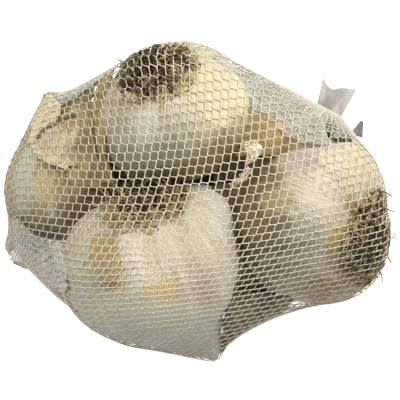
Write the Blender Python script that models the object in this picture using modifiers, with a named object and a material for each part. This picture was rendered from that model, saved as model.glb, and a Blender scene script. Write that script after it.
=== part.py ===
"""Net bag of garlic bulbs, built as closed solids in metres with +Z up.

The bag lies on its side. The knitted net is drawn tight over four bulbs, so its
outer form is modelled as one solid skin that bulges over every bulb, sags into
the hollows between them and is flat where the load presses it on the table.
The neck of the net is gathered at the back right, held by a small metal clip,
and a folded strip of film stands up out of the clip.
"""
import math

import bpy
import bmesh
import numpy as np
from mathutils import Matrix, Vector

MM = 0.001
OBJECT_NAME = "net_bag_of_garlic_bulbs"

# Form of one bulb
# Reach of the skin from the middle of the bulb, by angle from the root side.
BODY_ANGLES = (0, 20, 33, 45, 60, 75, 90, 105, 120, 135, 150, 180)
BODY_REACH = (0.80, 0.82, 0.86, 0.915, 0.965, 0.995, 1.0, 0.985, 0.945, 0.89, 0.84, 0.80)
BLEND = 1.2

# Places of the bulbs in the bag, millimetres
# root and neck are directions, tip is how far the dried neck reaches,
# cone is its half angle, and bumps are (direction, share of radius, width).
BULBS = (
    dict(name="left bulb", middle=(-43.1, 12.8, 23.6), radius=24.0,
         root=(0.277, -0.841, -0.464), neck=(-0.281, 0.831, 0.480), tip=36.2, cone=40,
         bumps=(((0.20, 0.80, 0.56), 0.30, 20), ((-0.90, -0.30, 0.0), 0.04, 40))),
    dict(name="top bulb", middle=(-6.4, 17.8, 58.8), radius=26.6,
         root=(-0.311, 0.207, 0.928), neck=(0.311, -0.207, -0.928), tip=28.0, cone=25,
         bumps=(((-0.36, 0.25, 0.90), 0.20, 25),)),
    dict(name="front bulb", middle=(-14.6, -28.5, 32.0), radius=30.8,
         root=(-0.040, 0.499, 0.865), neck=(0.540, -0.430, -0.724), tip=44.0, cone=37,
         bumps=(((0.55, 0.55, 0.63), 0.20, 25), ((-0.30, -0.80, -0.55), -0.03, 36),
                ((0.0, 0.0, -1.0), 0.04, 25))),
    dict(name="right bulb", middle=(40.4, -4.9, 30.6), radius=31.0,
         root=(0.822, -0.509, 0.255), neck=(-0.725, 0.678, 0.119), tip=27.4, cone=28,
         bumps=(((0.70, -0.57, -0.40), 0.19, 30), ((0.822, -0.509, 0.255), 0.14, 24))),
    dict(name="folded net end", middle=(-58.4, 0.4, 3.0), radius=10.5,
         root=(0.0, 0.0, -1.0), neck=(0.0, 0.0, 1.0), tip=3.0, cone=30, bumps=()),
)
NET_COVER = 0.7

# Neck of the net, gathered for the clip, millimetres
BAG_MIDDLE = np.array((-2.4, -3.1, 32.0))
NECK_MIDDLE = np.array((52.6, 42.9, 20.0))
NECK_TURN = (0.25, 0.55, -0.80)
NECK_STEPS = (9.0, 6.5, 3.0)
NECK_FLARE = (2.15, 2.1, 2.3)
NECK_ROOT = 4.3
NECK_DOME = 0.4
UPWARD = np.array((0.0, 0.0, 1.0))

# Net skin, counts and millimetres
# The net sags by this share of the way to its neighbours' mean each step,
# more in the gap between the front bulb and the right bulb.
AROUND = 72
ALONG = 46
STEPS = 60
SAG_ALL = 0.22
SAG_GAP = 0.60
SAG_PLACE = np.array((26.6, -43.1, 8.0))
SAG_SPREAD = 26.0
FULLNESS = 0.02
SLIDE = 0.15

# Hollows between the bulbs, seen through the net, millimetres
# They open towards the way given here and fade out where the skin turns away.
HOLLOW_WAY = np.array((0.0, -0.45, 0.90)) / math.hypot(0.45, 0.90)
HOLLOW_FADE = (0.25, 0.55)
HOLLOW_DEPTH = 22.0
HOLLOW_STEP = 0.5
HOLLOW_SMOOTHING = 1
HOLLOW_AROUND = 92
HOLLOW_ALONG = 60

# Clip, millimetres
CLIP_PLACE = 6.5
CLIP_BORE = 2.25
CLIP_GAP = 0.35
CLIP_WALL = 0.9
CLIP_WIDTH = 2.6
CLIP_EDGE = 0.25

# Film strip, its fan and its lower corner, millimetres
FILM_THICK = 0.4
FAN_FOOT = np.array((51.2, 51.7, 12.8))
FAN_UP = np.array((0.20, 0.34, 0.92)) / math.hypot(0.20, 0.34, 0.92)
FAN_ACROSS = np.array((0.98, -0.10, -0.10))
FAN_HEIGHT = 15.0
FAN_FOOT_WIDTH = 9.5
FAN_RIM_WIDTH = 13.4
CORNER_FOOT = np.array((61.2, 44.8, 11.6))
CORNER_UP = np.array((0.42, 0.46, 0.78)) / math.hypot(0.42, 0.46, 0.78)
CORNER_ACROSS = np.array((0.80, -0.20, -0.40))
CORNER_WIDTH = 5.2
CORNER_HEIGHT = 6.2


def unit(v):
    v = np.asarray(v, float)
    return v / np.linalg.norm(v)


def unit_rows(v):
    return v / np.maximum(np.linalg.norm(v, axis=-1, keepdims=True), 1e-9)


NECK_WAY = unit(NECK_TURN)
BAG_AXIS = unit(NECK_MIDDLE - BAG_MIDDLE)


def skin_reach(bulb, ways):
    """Reach of one bulb along the unit directions in ways."""
    from_root = np.degrees(np.arccos(np.clip(ways @ unit(bulb["root"]), -1, 1)))
    body = np.interp(from_root, BODY_ANGLES, BODY_REACH) * bulb["radius"]
    for way, share, width in bulb["bumps"]:
        off = np.degrees(np.arccos(np.clip(ways @ unit(way), -1, 1)))
        body = body * (1 + share * np.exp(-(off / width) ** 2))
    off = np.arccos(np.clip(ways @ unit(bulb["neck"]), -1, 1))
    half = math.radians(bulb["cone"])
    turn = np.minimum(off + half, math.pi / 2)
    past = np.clip(off + half - math.pi / 2, 0, math.pi / 2)
    cone = bulb["tip"] * math.sin(half) / np.sin(turn) * np.cos(past)
    return body + BLEND * np.log1p(np.exp((cone - body) / BLEND))


def push_out(points):
    """Move points that lie inside a bulb out to its surface."""
    for bulb in BULBS:
        away = points - np.array(bulb["middle"])
        far = np.linalg.norm(away, axis=1)
        ways = away / far[:, None]
        reach = skin_reach(bulb, ways) + NET_COVER
        inside = far < reach
        points[inside] = np.array(bulb["middle"]) + ways[inside] * reach[inside][:, None]
    points[:, 2] = np.maximum(points[:, 2], 0.0)
    return points


def ring(middle, direction, radius, angles, side):
    """Circle of points round a direction, starting on the given side."""
    along = unit(direction)
    first = unit(side - along * (side @ along))
    second = np.cross(along, first)
    return (middle + radius * (np.cos(angles)[:, None] * first
                               + np.sin(angles)[:, None] * second))


def bulb_points(around=40, along=24):
    """Points all over the bulbs and round the root of the neck."""
    tilt = (np.arange(along) + 0.5) / along * math.pi
    turn = np.arange(around) * 2 * math.pi / around
    ways = np.stack([np.outer(np.sin(tilt), np.cos(turn)), np.outer(np.sin(tilt), np.sin(turn)),
                     np.outer(np.cos(tilt), np.ones(around))], -1).reshape(-1, 3)
    points = [np.array(bulb["middle"]) + ways * (skin_reach(bulb, ways) + NET_COVER)[:, None]
              for bulb in BULBS]
    points.append(ring(NECK_MIDDLE, NECK_WAY, NECK_ROOT, turn, UPWARD))
    points = np.concatenate(points)
    points[:, 2] = np.maximum(points[:, 2], 0.0)
    return points


def hull_reach(ways):
    """Reach of the sheet stretched round all the bulbs, from the bag's middle."""
    hull = bmesh.new()
    for point in bulb_points():
        hull.verts.new(Vector(point - BAG_MIDDLE))
    found = bmesh.ops.convex_hull(hull, input=hull.verts[:], use_existing_faces=False)
    faces = [part for part in found["geom"] if isinstance(part, bmesh.types.BMFace)]
    normals = np.array([face.normal[:] for face in faces])
    corners = np.array([face.verts[0].co[:] for face in faces])
    hull.free()
    offsets = (normals * corners).sum(1)
    normals[offsets < 0] *= -1
    offsets = np.abs(offsets)
    facing = ways @ normals.T
    return np.where(facing > 1e-6, offsets / np.maximum(facing, 1e-6), 1e9).min(1)


def tight_skin(turn):
    """Rows of points from the neck to the far side, drawn tight over the bulbs."""
    first = unit(UPWARD - BAG_AXIS * (UPWARD @ BAG_AXIS))
    second = np.cross(BAG_AXIS, first)
    start = math.asin(NECK_ROOT / np.linalg.norm(NECK_MIDDLE - BAG_MIDDLE))
    tilt = start + (math.pi - start) * (np.arange(ALONG) + 1) / (ALONG + 1)
    ways = (np.cos(tilt)[:, None, None] * BAG_AXIS
            + np.sin(tilt)[:, None, None] * (np.cos(turn)[None, :, None] * first
                                             + np.sin(turn)[None, :, None] * second))
    reach = hull_reach(ways.reshape(-1, 3)).reshape(ALONG, AROUND)
    neck = ring(NECK_MIDDLE, NECK_WAY, NECK_ROOT, turn, UPWARD)
    grid = push_out((BAG_MIDDLE + ways * reach[..., None]).reshape(-1, 3))
    grid = grid.reshape(ALONG, AROUND, 3)
    for _ in range(STEPS):
        far = np.broadcast_to(grid[-1].mean(0), (1, AROUND, 3))
        above = np.concatenate([neck[None], grid[:-1]])
        below = np.concatenate([grid[1:], far])
        left, right = np.roll(grid, 1, 1), np.roll(grid, -1, 1)
        area = np.cross(below - above, right - left)
        normal = area / np.maximum(np.linalg.norm(area, axis=-1, keepdims=True), 1e-9)
        move = (above + below + left + right) / 4 - grid
        into = (move * normal).sum(-1, keepdims=True) * normal
        near = np.exp(-((grid - SAG_PLACE) ** 2).sum(-1, keepdims=True) / SAG_SPREAD ** 2)
        sag = SAG_ALL + (SAG_GAP - SAG_ALL) * near
        grid = grid + sag * (into + SLIDE * move + FULLNESS * area / 16)
        grid = push_out(grid.reshape(-1, 3)).reshape(ALONG, AROUND, 3)
    return grid


def finer(grid, rows, columns):
    """The same surface with more rows along and more columns round."""
    along = np.linspace(0, len(grid) - 1, rows)
    first = np.minimum(along.astype(int), len(grid) - 2)
    part = (along - first)[:, None, None]
    grid = grid[first] * (1 - part) + grid[first + 1] * part
    around = np.arange(columns) * grid.shape[1] / columns
    first = around.astype(int)
    part = (around - first)[None, :, None]
    return grid[:, first] * (1 - part) + grid[:, (first + 1) % grid.shape[1]] * part


def free_depth(points, ways):
    """How far each point can go inwards before it meets a bulb, up to the hollow's depth."""
    depth = np.full(len(points), HOLLOW_DEPTH)
    met = np.zeros(len(points), bool)
    for step in np.arange(0.0, HOLLOW_DEPTH, HOLLOW_STEP):
        trial = points - ways * step
        for bulb in BULBS:
            away = trial - np.array(bulb["middle"])
            far = np.linalg.norm(away, axis=1)
            inside = far < skin_reach(bulb, away / far[:, None]) + NET_COVER
            depth[inside & ~met] = step
            met |= inside
    return depth


def hollowed(grid):
    """Let the skin down between the bulbs where it faces up, towards the bag's middle."""
    rows, columns, _ = grid.shape
    along = np.gradient(grid, axis=0)
    around = np.roll(grid, -1, 1) - np.roll(grid, 1, 1)
    normal = unit_rows(np.cross(along, around))
    ways = unit_rows(grid - BAG_MIDDLE)
    facing = ((normal * ways).sum(-1) > 0) * 2 - 1
    open_part = (normal * facing[..., None]) @ HOLLOW_WAY
    open_part = np.clip((open_part - HOLLOW_FADE[0]) / (HOLLOW_FADE[1] - HOLLOW_FADE[0]), 0, 1)
    depth = free_depth(grid.reshape(-1, 3), ways.reshape(-1, 3)).reshape(rows, columns)
    depth = depth * open_part
    for _ in range(HOLLOW_SMOOTHING):
        depth[1:-1] = (2 * depth[1:-1] + depth[:-2] + depth[2:]) / 4
        depth = (2 * depth + np.roll(depth, 1, 1) + np.roll(depth, -1, 1)) / 4
    return grid - ways * depth[..., None]


def new_material(name, colour, roughness, metallic=0.0):
    material = bpy.data.materials.new(name)
    material.use_nodes = True
    shader = material.node_tree.nodes["Principled BSDF"]
    shader.inputs["Base Color"].default_value = (*colour, 1.0)
    shader.inputs["Roughness"].default_value = roughness
    shader.inputs["Metallic"].default_value = metallic
    material.diffuse_color = (*colour, 1.0)
    return material


def add_object(name, shape, material, collection):
    """Object of one mesh, smooth shaded, in the bag's collection."""
    mesh = bpy.data.meshes.new(name)
    shape.to_mesh(mesh)
    shape.free()
    mesh.materials.append(material)
    mesh.shade_smooth()
    thing = bpy.data.objects.new(name, mesh)
    collection.objects.link(thing)
    return thing


def add_net_bag(material, collection):
    """A sphere drawn tight over the bulbs, one pole at the end of the neck."""
    grid = tight_skin(np.arange(AROUND) * 2 * math.pi / AROUND)
    grid = hollowed(finer(grid, HOLLOW_ALONG, HOLLOW_AROUND))
    turn = np.arange(HOLLOW_AROUND) * 2 * math.pi / HOLLOW_AROUND
    neck = ring(NECK_MIDDLE, NECK_WAY, NECK_ROOT, turn, UPWARD)
    rows = [ring(NECK_MIDDLE + NECK_WAY * step, NECK_WAY, radius, turn, UPWARD)
            for step, radius in zip(NECK_STEPS, NECK_FLARE)]
    rows = np.array(rows + [neck] + list(grid))
    neck_end = NECK_MIDDLE + NECK_WAY * (NECK_STEPS[0] + NECK_DOME)

    shape = bmesh.new()
    bmesh.ops.create_uvsphere(shape, u_segments=HOLLOW_AROUND, v_segments=len(rows) + 1, radius=1.0)
    for vert in shape.verts:
        x, y, z = vert.co
        row = round(math.acos(max(-1.0, min(1.0, z))) / math.pi * (len(rows) + 1))
        if row == 0:
            place = neck_end
        elif row == len(rows) + 1:
            place = rows[-1].mean(0)
        else:
            column = round(math.atan2(y, x) / (2 * math.pi) * HOLLOW_AROUND) % HOLLOW_AROUND
            place = rows[row - 1][column]
        vert.co = Vector(place * MM)
    bmesh.ops.triangulate(shape, faces=shape.faces[:])
    bmesh.ops.recalc_face_normals(shape, faces=shape.faces[:])
    return add_object("net_bag", shape, material, collection)


def axes_matrix(middle, across, up):
    """Placement whose X is across and whose Y is up."""
    across = unit(across - up * (across @ up))
    out = np.cross(across, up)
    matrix = Matrix.Identity(4)
    for row in range(3):
        matrix[row][0], matrix[row][1], matrix[row][2] = across[row], up[row], out[row]
        matrix[row][3] = middle[row] * MM
    return matrix


def add_clip(material, collection):
    """A flat band bent round the neck of the net, a profile turned full circle."""
    inner = (CLIP_BORE + CLIP_GAP) * MM
    outer = inner + CLIP_WALL * MM
    half = CLIP_WIDTH / 2 * MM
    edge = CLIP_EDGE * MM
    profile = ((outer, half - edge), (outer, -half + edge), (outer - edge, -half),
               (inner + edge, -half), (inner, -half + edge), (inner, half - edge),
               (inner + edge, half), (outer - edge, half))
    shape = bmesh.new()
    verts = [shape.verts.new((radius, 0.0, rise)) for radius, rise in profile]
    for first, second in zip(verts, verts[1:] + verts[:1]):
        shape.edges.new((first, second))
    clip = add_object("closure_clip", shape, material, collection)
    turning = clip.modifiers.new("turning", "SCREW")
    turning.axis = "Z"
    turning.steps = 40
    turning.render_steps = 40
    turning.use_merge_vertices = True
    turning.merge_threshold = 0.00005
    clip.location = Vector((NECK_MIDDLE + NECK_WAY * CLIP_PLACE) * MM)
    clip.rotation_euler = Vector(NECK_WAY).to_track_quat("Z", "Y").to_euler()
    return clip


def add_sheet(name, place, across, up, matrix, material, collection):
    """A thin curved sheet: a grid bent by place(u, v), then made thick."""
    shape = bmesh.new()
    bmesh.ops.create_grid(shape, x_segments=across, y_segments=up, size=0.5)
    for vert in shape.verts:
        vert.co = Vector(place(vert.co.x + 0.5, vert.co.y + 0.5)) * MM
    sheet = add_object(name, shape, material, collection)
    sheet.matrix_world = matrix
    thick = sheet.modifiers.new("film thickness", "SOLIDIFY")
    thick.thickness = FILM_THICK * MM
    thick.offset = 0.0
    return sheet


def fan_place(u, v):
    """Point of the film fan, u from left to right and v from foot to rim."""
    width = FAN_FOOT_WIDTH + (FAN_RIM_WIDTH - FAN_FOOT_WIDTH) * v ** 0.8
    rim = 1.0 - 0.17 * v * math.exp(-((u - 0.36) / 0.18) ** 2)
    rim += 0.12 * v * math.exp(-(u / 0.10) ** 2)
    fold = 0.9 * math.sin(3.4 * math.pi * u + 0.5) * (1.0 - 0.45 * v)
    curl = 1.4 * v * v * (u - 0.4)
    return ((u - 0.5) * width + 0.8 * v, FAN_HEIGHT * v * rim, fold + curl)


def corner_place(u, v):
    """Point of the small lower corner of the film."""
    width = CORNER_WIDTH * (1.0 - 0.85 * v)
    return ((u - 0.35) * width, CORNER_HEIGHT * v, 0.5 * math.sin(math.pi * u))


def main():
    for thing in list(bpy.data.objects):
        bpy.data.objects.remove(thing, do_unlink=True)
    collection = bpy.data.collections.new(OBJECT_NAME)
    bpy.context.scene.collection.children.link(collection)

    net = new_material("cream_net", (0.83, 0.80, 0.70), 0.6)
    metal = new_material("clip_metal", (0.62, 0.63, 0.64), 0.35, 1.0)
    film = new_material("white_film", (0.80, 0.78, 0.75), 0.4)
    grey_film = new_material("grey_film", (0.45, 0.45, 0.42), 0.45)

    add_net_bag(net, collection)
    add_clip(metal, collection)
    fan = axes_matrix(FAN_FOOT, FAN_ACROSS, FAN_UP)
    add_sheet("film_fan", fan_place, 26, 10, fan, film, collection)
    corner = axes_matrix(CORNER_FOOT, CORNER_ACROSS, CORNER_UP)
    add_sheet("film_corner", corner_place, 8, 6, corner, grey_film, collection)


main()
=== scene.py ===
"""Net bag of four garlic bulbs: the knitted net, the bulbs in it, the clip and the film."""
import math

import bmesh
import bpy
import numpy as np
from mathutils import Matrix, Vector
from mathutils.bvhtree import BVHTree


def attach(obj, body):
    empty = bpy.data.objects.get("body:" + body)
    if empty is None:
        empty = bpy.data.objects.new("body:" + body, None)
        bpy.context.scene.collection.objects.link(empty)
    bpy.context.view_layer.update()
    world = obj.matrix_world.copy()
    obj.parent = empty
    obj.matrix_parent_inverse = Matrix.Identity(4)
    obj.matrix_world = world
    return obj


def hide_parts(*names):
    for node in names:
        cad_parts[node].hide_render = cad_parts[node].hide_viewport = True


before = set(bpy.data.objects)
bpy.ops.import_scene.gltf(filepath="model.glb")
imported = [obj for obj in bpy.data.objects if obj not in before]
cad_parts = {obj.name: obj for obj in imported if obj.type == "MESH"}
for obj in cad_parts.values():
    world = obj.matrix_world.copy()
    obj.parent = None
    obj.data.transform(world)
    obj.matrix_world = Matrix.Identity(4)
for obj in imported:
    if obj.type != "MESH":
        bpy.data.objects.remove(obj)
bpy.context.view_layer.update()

MM = 0.001
BODY = "root"
SHADER = "Principled BSDF"
random = np.random.default_rng(11)

# Camera, millimetres and pixels of a 400 by 400 image
LOOK_AT = np.array((2.6, 16.9, 8.07))
CAMERA_RISE = math.radians(55)
CAMERA_FAR = 620.0
FOCAL_PIXELS = 1668.57
IMAGE = 400
SENSOR = 36.0
RIGHT = np.array((1.0, 0.0, 0.0))
UP = np.array((0.0, math.sin(CAMERA_RISE), math.cos(CAMERA_RISE)))
BACK = np.array((0.0, -math.cos(CAMERA_RISE), math.sin(CAMERA_RISE)))
EYE = LOOK_AT + CAMERA_FAR * BACK

# Form of one bulb, as in the solid net bag
BODY_ANGLES = (0, 20, 33, 45, 60, 75, 90, 105, 120, 135, 150, 180)
BODY_REACH = (0.8, 0.82, 0.86, 0.915, 0.965, 0.995, 1.0, 0.985, 0.945, 0.89, 0.84, 0.8)
BLEND = 1.2
LEFT = dict(name="left", middle=(-43.1, 12.8, 23.6), radius=24.0,
            root=(0.277, -0.841, -0.464), neck=(-0.281, 0.831, 0.48), tip=36.2, cone=40,
            bumps=(((0.2, 0.8, 0.56), 0.3, 20), ((-0.9, -0.3, 0.0), 0.04, 40)))
TOP = dict(name="top", middle=(-6.4, 17.8, 58.8), radius=26.6,
           root=(-0.311, 0.207, 0.928), neck=(0.311, -0.207, -0.928), tip=28.0, cone=25,
           bumps=(((-0.36, 0.25, 0.9), 0.2, 25),))
FRONT = dict(name="front", middle=(-14.6, -28.5, 32.0), radius=30.8,
             root=(-0.04, 0.499, 0.865), neck=(0.54, -0.43, -0.724), tip=44.0, cone=37,
             bumps=(((0.55, 0.55, 0.63), 0.2, 25), ((-0.3, -0.8, -0.55), -0.03, 36),
                    ((0.0, 0.0, -1.0), 0.04, 25)))
SIDE = dict(name="right", middle=(40.4, -4.9, 30.6), radius=31.0,
            root=(0.822, -0.509, 0.255), neck=(-0.725, 0.678, 0.119), tip=27.4, cone=28,
            bumps=(((0.7, -0.57, -0.4), 0.19, 30), ((0.822, -0.509, 0.255), 0.14, 24)))
FOLDED_END = dict(name="folded", middle=(-58.4, 0.4, 3.0), radius=10.5, root=(0.0, 0.0, -1.0),
                  neck=(0.0, 0.0, 1.0), tip=3.0, cone=30, bumps=())
BULBS = (LEFT, TOP, FRONT, SIDE)
COVERED = BULBS + (FOLDED_END,)
for bulb in COVERED:
    bulb["middle"] = np.array(bulb["middle"])
NET_COVER = 0.7

# Bag and neck of the net, as in the solid net bag
BAG_MIDDLE = np.array((-2.4, -3.1, 32.0))
NECK_MIDDLE = np.array((52.6, 42.9, 20.0))
NECK_TURN = (0.25, 0.55, -0.8)
NECK_ROOT = 4.3
NECK_STRANDS = 150
NECK_STEPS = (0.0, 1.5, 3.0, 5.0, 8.0, 9.5, 11.5)
NECK_RADII = (4.2, 3.1, 2.2, 2.0, 2.0, 2.5, 3.3)
NECK_THREAD = 0.2
WRAP_DOWN = 9.0
WRAP_RADIUS = 1.9
WRAP_THICK = 0.3
UPWARD = np.array((0.0, 0.0, 1.0))
AROUND = 72
ALONG = 46
STEPS = 60
SAG_ALL = 0.22
SAG_GAP = 0.6
SAG_PLACE = np.array((26.6, -43.1, 8.0))
SAG_SPREAD = 26.0
FULLNESS = 0.02
SLIDE = 0.15
TAIL = np.array((-63.0, -4.0, 1.5))
TAIL_ROOT = 3.2

# Search along a line of sight, millimetres
SEARCH_NEAR = 120.0
SEARCH_PAST = 60.0
FINE_STEP = 0.1
FINE_STEPS = 10

# Bulbs, root hairs, sheets, stain patches and painted shade, counts and millimetres
BULB_ROWS = 120
BULB_AROUND = 160
UNDER_NET = 0.35
HAIR_STEPS = 14
HAIR_TAPER = 0.45
HAIR_SCATTER = 0.8
HAIR_FLOOR = 0.3
TWIST_KEPT = 0.85
TWIST_NEW = 0.6
THROUGH_NET = 0.4
THROUGH_BY = 0.6
BENEATH_BY = 0.4
LOOSE_BEND = 0.12
LOOSE_OUT = 2.6
MAT_EDGE = 1.12
MAT_DEPTH = 0.2
STRAY_STEPS = 8
STRAY_RADII = (0.34, 0.2)
SHEET_ACROSS = 24
SHEET_ALONG = 30
SHEET_THICK = 0.25
SHEET_DEPTH = 0.45
SHEET_FLOOR = 0.5
RAGGED = 0.8
BUNCH_WAVE = 0.45
BUNCH_DEPTH = 0.3
BUNCH_FLOOR = 0.4
PIXEL = 0.35

# Net, counts and millimetres
# The slopes give the number of the net's row or column over the picture, as shares of
# Y, Y squared, X, X times Y and X squared, in half pictures from the middle. The sixth is
# for the square of the distance below a slanted line, where the net is drawn together.
COLUMNS = 83
COLUMN_SLOPES = (16.05, -5.3, -13.4, -1.8, -1.3, -18.0)
ROW_SLOPES = (15.2, 5.8, 22.0, 2.1, -1.9, -4.0)
CLOSE_BELOW = -0.15
CLOSE_TILT = 0.2
ROW_PITCH = 2.7
ROW_LIFT = 0.33
PLAIN_WEIGHT = 0.02
LINES = 72
LINE_STEPS = 50
PILLAR = 0.9
ZIGZAG = 2.6
EVENING_STEPS = 12
EVENING = 0.3
HOLDING = 0.08
LONGEST_STRAND = 6.0
STRAND = 0.19
STRAND_PLACES = (0.0, 0.16, 0.5, 0.84, 1.0)
STRAND_WIDTHS = (1.45, 1.0, 0.85, 1.0, 1.45)


def length_of(v):
    """Lengths of vectors, with their last axis kept."""
    return np.linalg.norm(v, axis=-1, keepdims=True)


def unit(v):
    """Vectors of length one."""
    v = np.asarray(v, float)
    return v / length_of(v)


def axes_about(axis, side):
    """A unit direction and two across it, the first as near to the given side as can be."""
    first = unit(side - axis * (side @ axis))
    return axis, first, np.cross(axis, first)


def ways_about(axes, tilt, turn):
    """Unit directions by angle from the first axis and turn round it."""
    return (np.cos(tilt)[..., None] * axes[0] + np.sin(tilt)[..., None]
            * (np.cos(turn)[..., None] * axes[1] + np.sin(turn)[..., None] * axes[2]))


def circle(count):
    """Angles of a full turn."""
    return np.arange(count) * 2 * math.pi / count


def raised(points, least):
    """Points of which none lies lower than least."""
    points[..., 2] = np.maximum(points[..., 2], least)
    return points


NECK_WAY = unit(NECK_TURN)
NECK_SIDE = unit(NECK_MIDDLE - BAG_MIDDLE)
TAIL_SIDE = unit(TAIL - BAG_MIDDLE)


# Meshes from arrays
def add_object(name, data):
    """Object in the scene."""
    thing = bpy.data.objects.new(name, data)
    bpy.context.scene.collection.objects.link(thing)
    return thing


def add_mesh(name, verts, groups, material):
    """Piece from points in millimetres and groups of faces with equal corner counts."""
    mesh = bpy.data.meshes.new(name)
    verts = np.asarray(verts, np.float32) * MM
    corners = np.concatenate([np.asarray(faces, np.int32).ravel() for faces in groups])
    sizes = np.concatenate([np.full(len(faces), np.shape(faces)[1], np.int32) for faces in groups])
    starts = np.concatenate([[0], np.cumsum(sizes)[:-1]]).astype(np.int32)
    mesh.vertices.add(len(verts))
    mesh.vertices.foreach_set("co", verts.ravel())
    mesh.loops.add(len(corners))
    mesh.loops.foreach_set("vertex_index", corners)
    mesh.polygons.add(len(sizes))
    mesh.polygons.foreach_set("loop_start", starts)
    mesh.update(calc_edges=True)
    mesh.validate()
    mesh.shade_smooth()
    mesh.materials.append(material)
    piece = add_object(name, mesh)
    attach(piece, BODY)
    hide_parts("net_bag")
    return piece


def set_values(piece, name, kind, key, values):
    """Values of the points that a material reads."""
    layer = piece.data.attributes.new(name, kind, "POINT")
    layer.data.foreach_set(key, np.float32(values).ravel())


def grid_faces(rows, around):
    """Faces of rows of points round a form, closed by the last two points."""
    index = np.arange(rows * around).reshape(rows, around)
    ahead = np.roll(index, -1, axis=1)
    quads = np.stack([index[:-1], index[1:], ahead[1:], ahead[:-1]], -1).reshape(-1, 4)
    first, last = np.full(around, rows * around), np.full(around, rows * around + 1)
    return quads, np.concatenate([np.stack([first, index[0], ahead[0]], -1),
                                  np.stack([last, ahead[-1], index[-1]], -1)])


def add_tubes(name, paths, radii, sides, material):
    """Closed tubes along paths of shape (count, steps, 3)."""
    count, steps, _ = paths.shape
    along = unit(np.gradient(paths, axis=1) + 1e-9)
    side = np.cross(along[:, 0], unit(random.normal(size=(count, 3))))
    rings = np.empty((count, steps, sides, 3))
    turn = circle(sides)
    for step in range(steps):
        side = unit(side - along[:, step] * (side * along[:, step]).sum(-1, keepdims=True))
        other = np.cross(along[:, step], side)
        spoke = (np.cos(turn)[None, :, None] * side[:, None]
                 + np.sin(turn)[None, :, None] * other[:, None])
        rings[:, step] = paths[:, step, None] + radii[:, step, None, None] * spoke
    index = np.arange(count * steps * sides).reshape(count, steps, sides)
    ahead = np.roll(index, -1, axis=2)
    quads = np.stack([index[:, :-1], ahead[:, :-1], ahead[:, 1:], index[:, 1:]], -1)
    ends = np.concatenate([index[:, 0, ::-1], index[:, -1]])
    return add_mesh(name, rings.reshape(-1, 3), (quads.reshape(-1, 4), ends), material)


# Forms of the bulbs
def skin_reach(bulb, ways):
    """Reach of one bulb along the unit directions in ways."""
    from_root = np.degrees(np.arccos(np.clip(ways @ unit(bulb["root"]), -1, 1)))
    body = np.interp(from_root, BODY_ANGLES, BODY_REACH) * bulb["radius"]
    for way, share, width in bulb["bumps"]:
        off = np.degrees(np.arccos(np.clip(ways @ unit(way), -1, 1)))
        body = body * (1 + share * np.exp(-(off / width) ** 2))
    off = np.arccos(np.clip(ways @ unit(bulb["neck"]), -1, 1))
    half = math.radians(bulb["cone"])
    turn = np.minimum(off + half, math.pi / 2)
    past = np.clip(off + half - math.pi / 2, 0, math.pi / 2)
    cone = bulb["tip"] * math.sin(half) / np.sin(turn) * np.cos(past)
    return body + BLEND * np.log1p(np.exp((cone - body) / BLEND))


def bulb_ways(bulb, tilt, turn):
    """Directions by angle from the root and turn round it."""
    return ways_about(axes_about(unit(bulb["root"]), RIGHT), tilt, turn)


def clove_dent(bulb, tilt, turn):
    """Depth of the grooves between the cloves, and of fine folds of the dry skin."""
    dent = np.zeros_like(tilt)
    for place, depth, width in bulb["grooves"]:
        place = math.radians(place) + 0.1 * np.sin(2 * tilt + place)
        off = np.angle(np.exp(1j * (turn - place)))
        dent = dent + depth * np.exp(-(off / width) ** 2)
    folds = 0.1 * np.sin(23 * turn + 2.0 * np.sin(3 * tilt)) + 0.07 * np.sin(41 * turn + 4 * tilt)
    fade = np.sin(np.clip(tilt, 0.15, math.pi)) ** 0.6
    return (dent + folds) * fade


def bumps_at(bulb, *rows):
    """Bumps of a bulb, given by angle from the root, turn round it, share and width."""
    return tuple((bulb_ways(bulb, math.radians(tilt), math.radians(turn)), share, width)
                 for tilt, turn, share, width in rows)


# Grooves between the cloves: turn round the root in degrees, depth and width
LEFT["grooves"] = ((20, 1.3, 0.16), (95, 1.6, 0.18), (150, 1.1, 0.14), (215, 1.6, 0.2),
                   (300, 1.4, 0.16))
TOP["grooves"] = ((265, 1.1, 0.2), (310, 0.8, 0.14), (215, 0.8, 0.16), (20, 1.3, 0.2),
                  (100, 1.4, 0.2), (160, 1.3, 0.2))
FRONT["grooves"] = ((352, 2.4, 0.1), (318, 1.2, 0.14), (275, 1.1, 0.14), (235, 1.6, 0.16),
                    (200, 1.3, 0.14), (10, 1.0, 0.2), (90, 1.6, 0.2), (140, 1.4, 0.2))
SIDE["grooves"] = ((30, 1.0, 0.16), (80, 1.3, 0.2), (130, 1.4, 0.2), (180, 1.0, 0.16), (230, 1.3, 0.2),
                   (285, 1.3, 0.2))
# The bare bulbs leave room for the roots under the net
LEFT["bare"] = LEFT
SIDE["bare"] = dict(SIDE, bumps=(SIDE["bumps"][0],))
TOP["bare"] = dict(TOP, bumps=bumps_at(TOP, (86, 330, 0.13, 30), (82, 195, 0.06, 28),
                                       (98, 235, 0.06, 25), (100, 295, 0.05, 22)))
FRONT["bare"] = dict(FRONT, bumps=FRONT["bumps"] + bumps_at(FRONT, (52, 18, 0.09, 20)))


def bulb_face(bulb, tilt, turn):
    """Points on the skin of a bulb."""
    ways = bulb_ways(bulb, tilt, turn)
    reach = skin_reach(bulb["bare"], ways.reshape(-1, 3)).reshape(tilt.shape)
    reach = reach + 0.15 - clove_dent(bulb, tilt, turn)
    return bulb["middle"] + ways * reach[..., None]


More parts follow.
